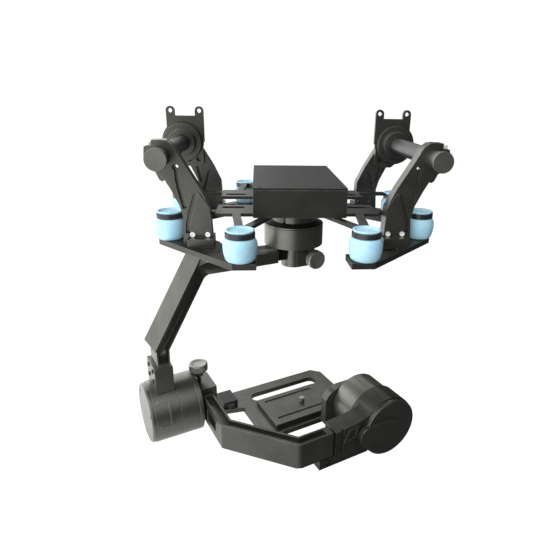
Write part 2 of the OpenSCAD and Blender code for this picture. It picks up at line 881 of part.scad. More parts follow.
cap_screw_ring = 24;
cap_screw_turn = [21, 141, 261];
module roll_motor_cap() {
    color("#282927")
        roll_motor_frame()
            difference() {
                union() {
                    translate([0, 0, roll_case_l + 0.05]) cylinder(h = roll_cap_t - 1, r = roll_r - 0.6);
                    translate([0, 0, roll_case_l + roll_cap_t - 1]) cylinder(h = 1, r = roll_r - 1.8);
                }
                for (a = cap_screw_turn)
                    rotate([0, 0, a]) {
                        translate([cap_screw_ring, 0, roll_case_l]) cylinder(h = 9, r = m3_r);
                        translate([cap_screw_ring, 0, roll_case_l + roll_cap_t - 1.4])
                            cylinder(h = 3, r = m3_head_r + 0.2);
                    }
            }
}

module roll_cap_screws() {
    color("#151515")
        roll_motor_frame()
            for (a = cap_screw_turn)
                rotate([0, 0, a])
                    translate([cap_screw_ring, 0, roll_case_l + roll_cap_t - 1.35])
                        screw(m3_r - run_gap, m3_head_r, 1.3, 3);
}

module roll_stator() {
    color("#b87333")
        roll_motor_frame()
            stator(roll_r - bell_wall - magnet_t - air_gap, -roll_rotor_h + floor_t + 0.4, -0.9);
}

roll_bearing_high = 8;
module roll_bearings() {
    color("silver") roll_motor_frame() bearing_pair(roll_tube_low, roll_bearing_high);
}

// ---------- roll rotor and roll arm ----------

module roll_rotor() {
    groove_z = -gap - roll_rotor_h + 4;
    color("#383936")
        roll_motor_frame()
            difference() {
                bell(roll_r, roll_rotor_h);
                translate([0, 0, groove_z]) tube(0.7, roll_r + 1, roll_r - 0.5);
            }
}

module roll_magnets() {
    color("lightgray")
        roll_motor_frame() magnets(roll_r - bell_wall, -roll_rotor_h + floor_t + 0.5, -0.8);
}

module roll_shaft() {
    color("gainsboro")
        roll_motor_frame()
            translate([0, 0, -gap - roll_rotor_h])
                cylinder(h = roll_rotor_h + roll_bearing_high + 6, r = shaft_r);
}

clamp_h = roll_arm_h + 2 * gap + 2 * clamp_wall;
module roll_output_clamp() {
    color("#30312e")
        pan_frame()
            difference() {
                translate([-clamp_x, -roll_front, axis_z - clamp_h / 2])
                    cube([2 * clamp_x, clamp_l, clamp_h]);
                translate([-clamp_x - 1, arm_back_y - gap, axis_z - roll_arm_h / 2 - gap])
                    cube([2 * clamp_x + 2, roll_arm_t + 2 * gap, roll_arm_h + 2 * gap]);
                translate([roll_knob_x, roll_knob_y, axis_z]) cylinder(h = 40, r = m4_r + gap);
            }
}

module roll_thumbscrew() {
    color("#8c8c88")
        pan_frame()
            translate([roll_knob_x, roll_knob_y, roll_knob_z - knob_t / 2])
                thumbscrew(roll_knob_z - knob_t / 2 - axis_z - roll_arm_h / 2 - gap);
}

function roll_arm_outer() = [
    [-26, arm_back_y], [69, arm_back_y], [roll_arm_x - 2, -63], [roll_arm_x, -58],
    [roll_arm_x, tongue_start]
];

// Centre line of the arm, and of the cable channel in its upper and lower faces
function roll_arm_line() = bar_side(roll_arm_outer(), roll_arm_t / 2);
function roll_channel_line() = let (line = roll_arm_line())
    [[20, line[1][1]], line[1], line[2], line[3], [line[4][0], tongue_start - 6]];

module roll_arm() {
    channel = roll_arm_t - 4;
    channel_d = 6;
    window_h = 11;
    color("#2f302d")
        pan_frame()
            translate([0, 0, axis_z])
                difference() {
                    union() {
                        translate([0, 0, -roll_arm_h / 2])
                            linear_extrude(roll_arm_h) bar(roll_arm_line(), roll_arm_t);
                        translate([tongue_x - tongue_t / 2, tongue_start - 1, -tongue_h / 2])
                            cube([tongue_t, tongue_end - tongue_start + 1, tongue_h]);
                    }
                    for (low = [roll_arm_h / 2 - channel_d, -roll_arm_h / 2 - 1])
                        translate([0, 0, low])
                            linear_extrude(channel_d + 1) bar(roll_channel_line(), channel);
                    // window beside the clamp
                    translate([31, arm_back_y - 1, -window_h / 2]) cube([22, roll_arm_t + 2, window_h]);
                }
}

// ---------- tilt motor, on the front end of the roll arm ----------

tongue_x = roll_arm_x - roll_arm_t / 2;
block_low = -16.5;
rail_low = -22.8;
rail_top = -13.8;
lock_screw_y = -32;
lock_screw_z = axis_z - 18;

// Side view of the block that carries the motor, from the arm's end up into the housing
module tilt_block_outline() {
    polygon([
        [bracket_back, block_low], [bracket_back, 13], [-5, 15], [4, 16.6], [10, 18.8],
        [14.5, 21.6], [19, 24.6], [25, 27], [tilt_y, 20], [tilt_y, block_low]
    ]);
}

// Raised loop on the block's outer face
module loop_outline() {
    polygon([[-15.5, -1.5], [-10, 11.5], [0.5, 12.5], [-1, 0]]);
}
module loop_hole() {
    polygon([[-12.6, 0.4], [-8.8, 9.9], [-1.6, 10.5], [-2.8, 1.4]]);
}

module tilt_bracket() {
    out_x = roll_arm_x + 1.5;
    in_x = 110;
    rail_w = 14.5;
    loop_t = 0.9;
    slot_w = 3.8;
    color("#2f302e")
        pan_frame()
            difference() {
                translate([0, 0, axis_z])
                    union() {
                        translate([in_x, 0, 0])
                            rotate([90, 0, 90]) linear_extrude(out_x - in_x) tilt_block_outline();
                        translate([out_x - eps, 0, 0])
                            rotate([90, 0, 90])
                                linear_extrude(loop_t + eps)
                                    difference() {
                                        loop_outline();
                                        loop_hole();
                                    }
                        // foot rail under the arm
                        translate([out_x - rail_w, -40.5, rail_low])
                            cube([rail_w - 1, 54.5, block_low - rail_low + 1]);
                        translate([out_x - rail_w, -40.5, rail_low])
                            cube([rail_w - 1, bracket_back + 40.5 + 1, rail_top - rail_low]);
                        // motor housing
                        translate([tilt_split, tilt_y, 0])
                            rotate([0, 90, 0]) cylinder(h = tilt_case_l, r = tilt_r);
                        translate([tilt_split - tilt_rotor_h + 7, tilt_y, 0])
                            rotate([0, 90, 0]) cylinder(h = tilt_rotor_h - 5, r = tube_r);
                    }
                // upright slot in the outer face
                translate([out_x - 1.5, -19.5, axis_z - 11]) cube([3, slot_w, 40]);
                // socket for the arm's tongue
                translate([tongue_x - tongue_t / 2 - gap, bracket_back - 1, axis_z - tongue_h / 2 - gap])
                    cube([tongue_t + 2 * gap, tongue_end - bracket_back + 3, tongue_h + 2 * gap]);
                // bearing bore and cap recess
                translate([tilt_split - tilt_rotor_h, tilt_y, axis_z])
                    rotate([0, 90, 0]) cylinder(h = 80, r = bearing_r);
                translate([tilt_split + 15, tilt_y, axis_z]) rotate([0, 90, 0]) cylinder(h = 20, r = 12);
                // screw hole in the foot rail
                translate([out_x - rail_w - 1, lock_screw_y, lock_screw_z])
                    rotate([0, 90, 0]) cylinder(h = 20, r = m4_r + 0.1);
            }
}

module tilt_lock_screw() {
    color("#151515")
        pan_frame()
            translate([roll_arm_x + 0.5 + run_gap, lock_screw_y, lock_screw_z])
                rotate([0, 90, 0]) screw(m4_r, m4_head_r - 0.7, 1.6, 11);
}

module tilt_motor_cap() {
    boss_r = 11;
    boss_reach = 25;
    boss_t = 2.4;
    color("#2a2b29")
        tilt_motor_frame()
            translate([0, 0, tilt_case_l + 0.7]) {
                cylinder(h = tilt_cap_t - 1.5, r = tilt_r - 0.8);
                translate([0, 0, tilt_cap_t - 2]) cylinder(h = 1.2, r = tilt_r - 2);
                translate([0, 0, 0.8]) cylinder(h = tilt_cap_t + boss_t - 2, r = boss_r);
                translate([0, -boss_reach, 0.8]) cylinder(h = tilt_cap_t + boss_t - 2, r = boss_r);
                translate([-boss_r, -boss_reach, 0.8])
                    cube([2 * boss_r, boss_reach, tilt_cap_t + boss_t - 2]);
            }
}

tilt_tube_low = -tilt_rotor_h + 7;
module tilt_stator() {
    color("#b87333")
        tilt_motor_frame() stator(tilt_rotor_r - bell_wall - magnet_t - air_gap, -19, -1.5);
}

tilt_bearing_high = 6;
module tilt_bearings() {
    color("silver") tilt_motor_frame() bearing_pair(tilt_tube_low, tilt_bearing_high);
}

// ---------- camera tray ----------

module tilt_rotor() {
    color("#6b6c66") tilt_motor_frame() bell(tilt_rotor_r, tilt_rotor_h);
}

module tilt_magnets() {
    color("lightgray") tilt_motor_frame() magnets(tilt_rotor_r - bell_wall, -19, -1.2);
}

module tilt_shaft() {
    color("gainsboro")
        tilt_motor_frame()
            translate([0, 0, -gap - tilt_rotor_h])
                cylinder(h = tilt_rotor_h + tilt_bearing_high + 6, r = shaft_r);
}

module camera_upright() {
    low_z = tray_top - tray_t;
    back = -1.7;
    front = 64;
    color("#2a2b2a")
        pan_frame()
            difference() {
                translate([upright_x - upright_t, 0, 0])
                    rotate([90, 0, 90])
                        linear_extrude(upright_t)
                            polygon([
                                [13, low_z], [front, low_z], [front, axis_z - 30], [front - 2, axis_z],
                                [front - 3.6, axis_z + 9], [front - 8, axis_z + 15],
                                [front - 13, axis_z + 18.5], [14, axis_z + 18.5], [6.4, axis_z + 16],
                                [1.9, axis_z + 12.4], [back, axis_z + 7],
                                [back, axis_z - 21.5], [13, axis_z - 37]
                            ]);
                translate([upright_x - upright_t - 1, tilt_y, axis_z])
                    rotate([0, 90, 0]) cylinder(h = upright_t + 2, r = shaft_r + fit_gap);
                for (y = tray_screw_y)
                    translate([upright_x - upright_t - 1, y, tray_top - tray_t / 2])
                        rotate([0, 90, 0]) cylinder(h = upright_t + 2, r = m3_r + 0.1);
            }
}

tray_right = upright_x - upright_t - 0.05;
module camera_tray() {
    tray_left = -62;
    rail_w = 30;
    color("#2a2b2a")
        pan_frame()
            difference() {
                translate([0, 0, tray_top - tray_t])
                    linear_extrude(tray_t)
                        polygon([
                            [tray_right, -48], [tray_right, 66], [40, 74], [-52, 74], [tray_left, 64],
                            [tray_left, -72], [-34, -72], [-28, -48]
                        ]);
                for (y = tray_screw_y)
                    translate([tray_right + 1, y, tray_top - tray_t / 2])
                        rotate([0, -90, 0]) cylinder(h = 14, r = m3_r);
                // slot that lets the camera screw travel
                translate([0, 0, tray_top - tray_t - eps])
                    slot_hole([0, -12], [0, 42], 8, tray_t + 2 * eps);
                for (side = [-1, 1])
                    translate([0, 0, tray_top - tray_t - eps])
                        slot_hole([side * 40, -24], [side * 40, 50], 8, tray_t + 2 * eps);
            }
}

module tray_screws() {
    color("#151515")
        pan_frame()
            for (y = tray_screw_y)
                translate([upright_x + run_gap, y, tray_top - tray_t / 2])
                    rotate([0, 90, 0]) screw(m3_r - run_gap, m3_head_r, 1.6, 18);
}

module motion_sensor() {
    color("#1c1c1c")
        pan_frame()
            translate([-60, -70, tray_top + 0.05]) {
                cube([24, 18, 7]);
                translate([24 - eps, 5, 1]) cube([5, 8, 4]);
            }
}

// ---------- sliding camera plate ----------

module camera_plate() {
    color("#3b3c3a")
        pan_frame()
            difference() {
                translate([-26, -32, seat_z - plate_h]) cube([52, 78, plate_h]);
                translate([0, 15, seat_z - plate_h - eps])
                    cylinder(h = plate_h + 1, r = camera_screw_r + gap);
                for (side = [-1, 1])
                    translate([0, 0, seat_z - 1.2])
                        slot_hole([side * 17, -22], [side * 17, 36], 3, 3);
            }
}

module camera_screw() {
    thread_low = seat_z + 0.5;
    thread_l = 5;
    shank_r = 2.4;
    head_r = 7.2;
    head_h = 11.5;
    low = seat_z - plate_h - tray_t - 6.5;
    color("#8c8c88")
        pan_frame()
            translate([0, 15, 0])
                difference() {
                    union() {
                        translate([0, 0, thread_low]) cylinder(h = thread_l, r = camera_screw_r);
                        translate([0, 0, low]) cylinder(h = thread_low - low + eps, r = shank_r);
                        translate([0, 0, low]) cylinder(h = head_h, r = head_r);
                    }
                    translate([-8, -0.8, low - 1]) cube([16, 1.6, 2.4]);
                }
}

rail_tubes();
rail_end_caps();
hanger_plates();
rail_flanges();
leg_front_left();
leg_front_right();
leg_rear_left();
leg_rear_right();
leg_clamp_screws();
leg_panel_screws();
leg_foot_screws();
isolator_plate_left();
isolator_plate_right();
dampers();
damper_rings();
suspension_plate();
control_box();
control_box_lid();
lid_screws();
control_board();
pan_motor_base();
pan_stator();
pan_bearings();
pan_rotor();
pan_magnets();
pan_shaft();
pan_hub_clamp();
pan_thumbscrew();
pan_arm();
roll_bracket();
roll_bracket_screws();
roll_motor_case();
roll_motor_cap();
roll_cap_screws();
roll_stator();
roll_bearings();
roll_rotor();
roll_magnets();
roll_shaft();
roll_output_clamp();
roll_thumbscrew();
roll_arm();
tilt_bracket();
tilt_lock_screw();
tilt_motor_cap();
tilt_stator();
tilt_bearings();
tilt_rotor();
tilt_magnets();
tilt_shaft();
camera_upright();
camera_tray();
tray_screws();
motion_sensor();
camera_plate();
camera_screw();
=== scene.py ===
import json
import math

import bmesh
import bpy
from mathutils import Matrix, Vector


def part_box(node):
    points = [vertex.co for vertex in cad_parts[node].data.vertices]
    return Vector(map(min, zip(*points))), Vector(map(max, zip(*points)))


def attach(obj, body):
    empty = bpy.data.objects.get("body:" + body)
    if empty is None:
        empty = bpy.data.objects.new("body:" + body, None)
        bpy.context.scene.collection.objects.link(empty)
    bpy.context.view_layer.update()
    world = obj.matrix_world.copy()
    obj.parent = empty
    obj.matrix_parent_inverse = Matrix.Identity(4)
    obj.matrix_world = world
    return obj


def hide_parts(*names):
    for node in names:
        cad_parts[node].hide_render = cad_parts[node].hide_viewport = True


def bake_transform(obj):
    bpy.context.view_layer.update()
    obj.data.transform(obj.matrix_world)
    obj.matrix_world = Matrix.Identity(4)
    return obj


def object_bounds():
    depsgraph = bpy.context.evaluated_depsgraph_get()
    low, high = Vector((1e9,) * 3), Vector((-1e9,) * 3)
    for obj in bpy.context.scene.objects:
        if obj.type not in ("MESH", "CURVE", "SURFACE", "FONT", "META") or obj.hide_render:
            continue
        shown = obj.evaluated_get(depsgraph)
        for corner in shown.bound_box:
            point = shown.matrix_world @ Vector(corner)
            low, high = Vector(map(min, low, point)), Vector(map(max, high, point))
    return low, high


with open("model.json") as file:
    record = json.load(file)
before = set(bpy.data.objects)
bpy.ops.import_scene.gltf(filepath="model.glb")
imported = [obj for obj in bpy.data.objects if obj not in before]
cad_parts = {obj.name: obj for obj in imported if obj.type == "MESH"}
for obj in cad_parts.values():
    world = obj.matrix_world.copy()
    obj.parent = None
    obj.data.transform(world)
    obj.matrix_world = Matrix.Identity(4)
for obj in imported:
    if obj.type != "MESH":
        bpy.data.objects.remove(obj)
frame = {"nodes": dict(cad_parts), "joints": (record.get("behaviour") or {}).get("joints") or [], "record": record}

cad_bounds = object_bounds()

MM = 0.001
UP = Vector((0, 0, 1))
NODES = frame["nodes"]
JOINTS = {joint["name"]: joint for joint in frame["joints"]}


# ---------- shader node helpers ----------

NOISE_ROUGHNESS = 0.55
# Sockets of the Mix node, which has one set per data type.
FLOAT_A, FLOAT_B, FLOAT_RESULT = 2, 3, 0
COLOUR_A, COLOUR_B, COLOUR_RESULT = 6, 7, 2


def new_material(name):
    material = bpy.data.materials.new(name)
    material.use_nodes = True
    tree = material.node_tree
    return material, tree, tree.nodes["Principled BSDF"]


def add(tree, kind, **settings):
    node = tree.nodes.new(kind)
    for key, value in settings.items():
        setattr(node, key, value)
    return node


def feed(tree, socket, value):
    """Links another node's output to a socket, or sets it to a number, a vector or a colour tuple."""
    if isinstance(value, bpy.types.NodeSocket):
        tree.links.new(value, socket)
    elif isinstance(value, tuple):
        socket.default_value = (*value, 1.0)
    else:
        socket.default_value = value


def rest_position(tree):
    """Where a surface point is in the row frame at rest, in metres."""
    return add(tree, "ShaderNodeTexCoord").outputs["Object"]


def noise(tree, vector, scale, detail=4.0):
    node = add(tree, "ShaderNodeTexNoise")
    feed(tree, node.inputs["Vector"], vector)
    feed(tree, node.inputs["Scale"], scale)
    feed(tree, node.inputs["Detail"], detail)
    feed(tree, node.inputs["Roughness"], NOISE_ROUGHNESS)
    return node.outputs["Fac"]


def remap(tree, value, low, high, to_low=0.0, to_high=1.0):
    node = add(tree, "ShaderNodeMapRange")
    feed(tree, node.inputs["Value"], value)
    feed(tree, node.inputs["From Min"], low)
    feed(tree, node.inputs["From Max"], high)
    feed(tree, node.inputs["To Min"], to_low)
    feed(tree, node.inputs["To Max"], to_high)
    return node.outputs["Result"]


def calculate(tree, operation, *values):
    node = add(tree, "ShaderNodeMath", operation=operation)
    for socket, value in zip(node.inputs, values):
        feed(tree, socket, value)
    return node.outputs["Value"]


def dot_product(tree, a, b):
    node = add(tree, "ShaderNodeVectorMath", operation="DOT_PRODUCT")
    feed(tree, node.inputs[0], a)
    feed(tree, node.inputs[1], b)
    return node.outputs["Value"]


def mix_colour(tree, factor, a, b):
    node = add(tree, "ShaderNodeMix", data_type="RGBA")
    feed(tree, node.inputs["Factor"], factor)
    feed(tree, node.inputs[COLOUR_A], a)
    feed(tree, node.inputs[COLOUR_B], b)
    return node.outputs[COLOUR_RESULT]


def lighter(colour, factor):
    return tuple(min(1.0, factor * channel) for channel in colour)


def bump(tree, height, strength, distance):
    node = add(tree, "ShaderNodeBump")
    feed(tree, node.inputs["Height"], height)
    feed(tree, node.inputs["Strength"], strength)
    feed(tree, node.inputs["Distance"], distance)
    return node.outputs["Normal"]


def edge_mask(tree, radius):
    """1 on sharp edges and 0 on flats, from how far the rounded normal leans away."""
    rounded = add(tree, "ShaderNodeBevel", samples=4)
    feed(tree, rounded.inputs["Radius"], radius)
    geometry = add(tree, "ShaderNodeNewGeometry")
    agreement = dot_product(tree, rounded.outputs["Normal"], geometry.outputs["Normal"])
    return remap(tree, agreement, low=0.995, high=0.80)


def dress(tree, shader, colour, roughness, normal):
    feed(tree, shader.inputs["Base Color"], colour)
    feed(tree, shader.inputs["Roughness"], roughness)
    feed(tree, shader.inputs["Normal"], normal)


# ---------- materials ----------
# Noise and wave scales are in cycles per metre.

def anodised(name, colour, rim_colour, roughness=0.35, metallic=0.9):
    """Bead-blasted anodised aluminium with lighter edges: partly wear, partly a painted highlight."""
    material, tree, shader = new_material(name)
    position = rest_position(tree)
    cloud = noise(tree, position, scale=45.0, detail=3.0)
    grain = noise(tree, position, scale=4200.0, detail=2.0)
    chips = noise(tree, position, scale=260.0)
    tone = mix_colour(tree, remap(tree, cloud, 0.35, 0.65), colour, lighter(colour, 1.28))
    chipped = remap(tree, chips, 0.38, 0.62, to_low=0.45)
    # Edges take rim_colour, broken up by noise: partly wear, partly a painted highlight where the edges catch the
    # light.
    edge_wear_and_highlight = calculate(tree, "MULTIPLY", edge_mask(tree, 0.45 * MM), chipped)
    dress(
        tree, shader,
        colour=mix_colour(tree, edge_wear_and_highlight, tone, rim_colour),
        roughness=remap(tree, grain, 0.3, 0.7, roughness - 0.05, roughness + 0.07),
        normal=bump(tree, grain, strength=0.22, distance=0.02 * MM),
    )
    feed(tree, shader.inputs["Metallic"], metallic)
    return material


def turned(name, colour, rim_colour, centre, axis):
    """Anodised aluminium turned on a lathe, with fine marks around one axis and lighter edges, partly wear and
    partly a painted highlight.
    """
    roughness = 0.33
    material, tree, shader = new_material(name)
    position = rest_position(tree)
    local = add(tree, "ShaderNodeVectorMath", operation="SUBTRACT")
    feed(tree, local.inputs[0], position)
    feed(tree, local.inputs[1], centre)
    length = add(tree, "ShaderNodeVectorMath", operation="LENGTH")
    feed(tree, length.inputs[0], local.outputs["Vector"])
    distance = length.outputs["Value"]
    along = dot_product(tree, local.outputs["Vector"], axis)
    distance_squared = calculate(tree, "MULTIPLY", distance, distance)
    along_squared = calculate(tree, "MULTIPLY", along, along)
    across_squared = calculate(tree, "SUBTRACT", distance_squared, along_squared)
    across = calculate(tree, "SQRT", calculate(tree, "MAXIMUM", 0.0, across_squared))
    section = add(tree, "ShaderNodeCombineXYZ")
    feed(tree, section.inputs["X"], along)
    feed(tree, section.inputs["Y"], across)
    marks = noise(tree, section.outputs["Vector"], scale=1900.0, detail=3.0)
    cloud = noise(tree, position, scale=60.0, detail=3.0)
    tone = mix_colour(tree, remap(tree, cloud, 0.35, 0.65), colour, lighter(colour, 1.25))
    marked = remap(tree, marks, 0.35, 0.7, to_high=0.5)
    tone = mix_colour(tree, marked, tone, lighter(colour, 1.5))
    # Edges take rim_colour: partly wear, partly a painted highlight where the edges catch the light.
    dress(
        tree, shader,
        colour=mix_colour(tree, edge_mask(tree, 0.5 * MM), tone, rim_colour),
        roughness=remap(tree, marks, 0.3, 0.7, roughness - 0.06, roughness + 0.08),
        normal=bump(tree, marks, strength=0.2, distance=0.02 * MM),
    )
    feed(tree, shader.inputs["Metallic"], 0.9)
    return material


def carbon_tube(name, colour):
    """Wrapped carbon tube: fine bands around the tube under a satin resin coat."""
    around, along = 120.0, 2600.0
    material, tree, shader = new_material(name)
    position = rest_position(tree)
    stretched = add(tree, "ShaderNodeMapping")
    stretched.inputs["Scale"].default_value = (around, along, around)
    feed(tree, stretched.inputs["Vector"], position)
    bands = noise(tree, stretched.outputs["Vector"], scale=1.0, detail=2.0)
    weave = add(tree, "ShaderNodeTexWave", wave_type="BANDS", bands_direction="DIAGONAL")
    feed(tree, weave.inputs["Scale"], 240.0)
    feed(tree, weave.inputs["Distortion"], 0.4)
    feed(tree, weave.inputs["Vector"], position)
    pattern = calculate(
        tree, "ADD",
        calculate(tree, "MULTIPLY", bands, 0.6),
        calculate(tree, "MULTIPLY", weave.outputs["Fac"], 0.4),
    )
    dress(
        tree, shader,
        colour=mix_colour(tree, remap(tree, pattern, 0.3, 0.7), colour, lighter(colour, 2.2)),
        roughness=remap(tree, pattern, 0.3, 0.7, 0.30, 0.46),
        normal=bump(tree, pattern, strength=0.25, distance=0.04 * MM),
    )
    feed(tree, shader.inputs["Coat Weight"], 0.25)
    feed(tree, shader.inputs["Coat Roughness"], 0.25)
    return material


def rubber(name, colour, pale):
    """Soft silicone: light scatters a little under a faintly dusty skin."""
    material, tree, shader = new_material(name)
    position = rest_position(tree)
    cloud = noise(tree, position, scale=110.0)
    dust = noise(tree, position, scale=2600.0, detail=2.0)
    relief = calculate(tree, "ADD", dust, calculate(tree, "MULTIPLY", cloud, 3.0))
    dress(
        tree, shader,
        colour=mix_colour(tree, remap(tree, cloud, 0.35, 0.7), colour, pale),
        roughness=remap(tree, dust, 0.3, 0.7, 0.42, 0.56),
        normal=bump(tree, relief, strength=0.12, distance=0.05 * MM),
    )
    feed(tree, shader.inputs["Subsurface Weight"], 0.35)
    feed(tree, shader.inputs["Subsurface Scale"], 1.5 * MM)
    shader.inputs["Subsurface Radius"].default_value = (1.0, 1.6, 2.2)
    return material


def plain_metal(name, colour, roughness, metallic=1.0, scratch=0.1):
    """Ground or plated metal with fine scratches."""
    material, tree, shader = new_material(name)
    position = rest_position(tree)
    fine = noise(tree, position, scale=3000.0, detail=3.0)
    cloud = noise(tree, position, scale=200.0, detail=3.0)
    dress(
        tree, shader,
        colour=mix_colour(tree, remap(tree, cloud, 0.3, 0.7), colour, lighter(colour, 1.2)),
        roughness=remap(tree, fine, 0.3, 0.7, roughness - 0.06, roughness + 0.1),
        normal=bump(tree, fine, strength=scratch, distance=0.02 * MM),
    )
    feed(tree, shader.inputs["Metallic"], metallic)
    return material


def plastic(name, colour, roughness):
    """Moulded plastic with a fine spark-eroded texture."""
    material, tree, shader = new_material(name)
    grain = noise(tree, rest_position(tree), scale=1800.0, detail=3.0)
    dress(
        tree, shader,
        colour=mix_colour(tree, remap(tree, grain, 0.3, 0.7), colour, lighter(colour, 1.3)),
        roughness=remap(tree, grain, 0.3, 0.7, roughness - 0.05, roughness + 0.08),
        normal=bump(tree, grain, strength=0.3, distance=0.05 * MM),
    )
    return material


ROLL_AXIS = Vector(JOINTS["roll"]["axis"])
TILT_AXIS = Vector(JOINTS["tilt"]["axis"])
ROLL_CENTRE = Vector(JOINTS["roll"]["pos_m"])
TILT_CENTRE = Vector(JOINTS["tilt"]["pos_m"])
PAN_CENTRE = Vector(JOINTS["pan"]["pos_m"])

# Edge colour for the finishes: partly wear, partly a painted highlight on the edges.
RIM = (0.46, 0.46, 0.43)

black = anodised("black_anodised", (0.098, 0.099, 0.088), RIM)
plate_black = anodised("plate_black", (0.062, 0.060, 0.056), (0.36, 0.35, 0.33), roughness=0.42)
# The box's very pale edge colour paints bright highlights on its edges, where the lid seam shows bright.
box_black = anodised("box_black", (0.050, 0.051, 0.046), (0.75, 0.75, 0.72), roughness=0.46)
# The lid's base colour is darker than the box's: painted shade for the dim reflection its top face catches. Its
# pale edge colour is painted highlight.
lid_black = anodised("lid_black", (0.034, 0.035, 0.032), (0.6, 0.6, 0.58), roughness=0.50)
tilt_black = anodised("tilt_black", (0.072, 0.073, 0.065), RIM, roughness=0.36)
pan_metal = turned("pan_metal", (0.125, 0.126, 0.110), RIM, PAN_CENTRE, UP)
roll_metal = turned("roll_metal", (0.135, 0.136, 0.122), RIM, ROLL_CENTRE, ROLL_AXIS)
tilt_metal = turned("tilt_metal", (0.085, 0.086, 0.078), RIM, TILT_CENTRE, TILT_AXIS)
rotor_metal = turned("rotor_metal", (0.17, 0.17, 0.15), RIM, TILT_CENTRE, TILT_AXIS)
tube_black = carbon_tube("tube_black", (0.016, 0.016, 0.017))
cap_black = anodised("cap_black", (0.15, 0.15, 0.132), RIM, roughness=0.5)
ring_black = anodised(
    "ring_black", (0.016, 0.017, 0.018), (0.10, 0.10, 0.10), roughness=0.26, metallic=0.1
)
blue = rubber("damper_rubber", (0.35, 0.60, 0.74), (0.42, 0.68, 0.81))
knob_metal = plain_metal("knob_metal", (0.31, 0.31, 0.29), 0.40, metallic=0.9, scratch=0.25)
steel = plain_metal("steel", (0.62, 0.62, 0.60), 0.25)
bright_steel = plain_metal("bright_steel", (0.86, 0.86, 0.82), 0.35, metallic=0.35)
black_steel = plain_metal("black_steel", (0.03, 0.03, 0.03), 0.35, metallic=0.6)
copper = plain_metal("copper", (0.65, 0.30, 0.14), 0.3)
board = plastic("circuit_board", (0.01, 0.12, 0.05), 0.35)
moulded = plastic("moulded_black", (0.02, 0.02, 0.021), 0.5)

FINISH_BY_SLOT = {
    "carbon_tube": tube_black,
    "black_anodised": black,
    "black_plate": plate_black,
    "damper_rubber": blue,
    "steel_screw": steel,
    "black_screw": black_steel,
    "grey_knob": knob_metal,
    "bearing_steel": steel,
    "copper_coils": copper,
    "magnet": steel,
    "rotor_metal": roll_metal,
    "circuit_board": board,
    "black_plastic": moulded,
}
FINISH_BY_NODE = {
    "control_box": box_black,
    "control_box_lid": lid_black,
    "tilt_bracket": tilt_black,
    "leg_clamp_screws": bright_steel,
    "leg_panel_screws": bright_steel,
    "pan_motor_base": pan_metal,
    "pan_rotor": pan_metal,
    "pan_hub_clamp": pan_metal,
    "roll_motor_case": roll_metal,
    "roll_motor_cap": roll_metal,
    "tilt_motor_cap": tilt_metal,
    "tilt_rotor": rotor_metal,
    "rail_end_caps": cap_black,
    "damper_rings": ring_black,
}


# ---------- CAD nodes: finish and rounded edges ----------

SCREW_EDGE = 0.2 * MM
PART_EDGE = 0.45 * MM
HIDDEN_INSIDE = ("stator", "magnets", "bearings", "shaft", "control_board")


def paint(node, material):
    mesh = NODES[node].data
    mesh.materials.clear()
    mesh.materials.append(material)


def round_edges(obj, width):
    """Welds a tessellated solid, joins its flat faces and rounds its sharp edges."""
    weld = obj.modifiers.new("weld", "WELD")
    weld.merge_threshold = 0.004 * MM
    flats = obj.modifiers.new("flats", "DECIMATE")
    flats.decimate_type = "DISSOLVE"
    flats.angle_limit = math.radians(0.6)
    bevel = obj.modifiers.new("bevel", "BEVEL")
    bevel.width = width
    bevel.segments = 2
    bevel.limit_method = "ANGLE"
    bevel.angle_limit = math.radians(28)
    bevel.use_clamp_overlap = True
    bevel.harden_normals = False
    bevel.miter_outer = "MITER_ARC"
    for polygon in obj.data.polygons:
        polygon.use_smooth = True
    normals = obj.modifiers.new("normals", "WEIGHTED_NORMAL")
    normals.keep_sharp = True


for entry in frame["record"]["subparts"]:
    node = entry["node"]
    paint(node, FINISH_BY_NODE.get(node, FINISH_BY_SLOT[entry["material_slot"]]))
    if not any(word in node for word in HIDDEN_INSIDE):
        round_edges(NODES[node], SCREW_EDGE if "screw" in node else PART_EDGE)


# ---------- turned and moulded pieces ----------
# Their profiles are (radius, height) points in millimetres.

def smooth_profile(points, steps):
    """Points along a soft curve through the given ones."""
    curve = []
    last = len(points) - 1
    for i in range(last):
        p0, p1, p2, p3 = (Vector(points[min(max(j, 0), last)]) for j in (i - 1, i, i + 1, i + 2))
        for k in range(steps):
            t = k / steps
            curve.append(
                0.5 * (2 * p1 + (p2 - p0) * t + (2 * p0 - 5 * p1 + 4 * p2 - p3) * t * t
                       + (3 * p1 - p0 - 3 * p2 + p3) * t * t * t)
            )
    curve.append(Vector(points[last]))
    return [(max(0.0, point.x), point.y) for point in curve]


def axis_frame(centre, axis):
    """Matrix whose Z runs along axis from centre."""
    return Matrix.Translation(centre) @ Vector(axis).to_track_quat("Z", "Y").to_matrix().to_4x4()


def lathe(mesh, profile, segments, place, radius_at=None):
    """Turns a profile into a closed skin about the Z axis of place."""
    smallest_radius = 1e-4
    rows = []
    for r, z in profile:
        if r < smallest_radius:
            rows.append([mesh.verts.new(place @ Vector((0, 0, z * MM)))])
            continue
        row = []
        for i in range(segments):
            angle = 2 * math.pi * i / segments
            out = r if radius_at is None else radius_at(r, z, angle)
            point = Vector((out * MM * math.cos(angle), out * MM * math.sin(angle), z * MM))
            row.append(mesh.verts.new(place @ point))
        rows.append(row)
    for a, b in zip(rows, rows[1:]):
        for i in range(segments):
            j = (i + 1) % segments
            corners = [a[i % len(a)], a[j % len(a)], b[j % len(b)], b[i % len(b)]]
            unique = list(dict.fromkeys(corners))
            if len(unique) > 2:
                mesh.faces.new(unique)


